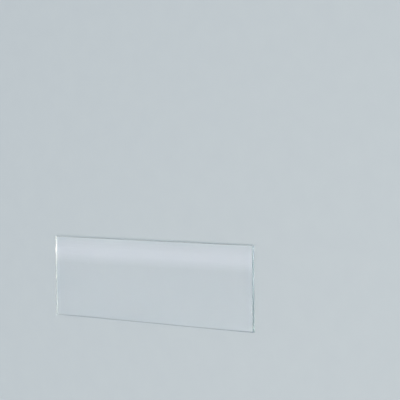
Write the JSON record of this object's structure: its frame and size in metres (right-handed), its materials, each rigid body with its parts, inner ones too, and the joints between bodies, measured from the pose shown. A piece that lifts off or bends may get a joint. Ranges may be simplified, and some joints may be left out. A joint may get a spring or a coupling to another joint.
{
  "type": "microscope slide",
  "caption": "Plain clear glass microscope slide: a thin rectangular plate with cut edges that carries a specimen on a microscope's stage.",
  "frame": {"origin": "under the middle of the slide's outline, on the face that it lies on", "axes": "+X along the slide, +Y across it, +Z out of its upper face, the one that was scored"},
  "size_m": [0.076, 0.026, 0.001],
  "materials": {
    "soda_lime_glass": "clear and smooth faces, edges cut and left as they broke"
  },
  "bodies": {
    "root": {"glass_slide": "soda_lime_glass"}
  },
  "joints": []
}
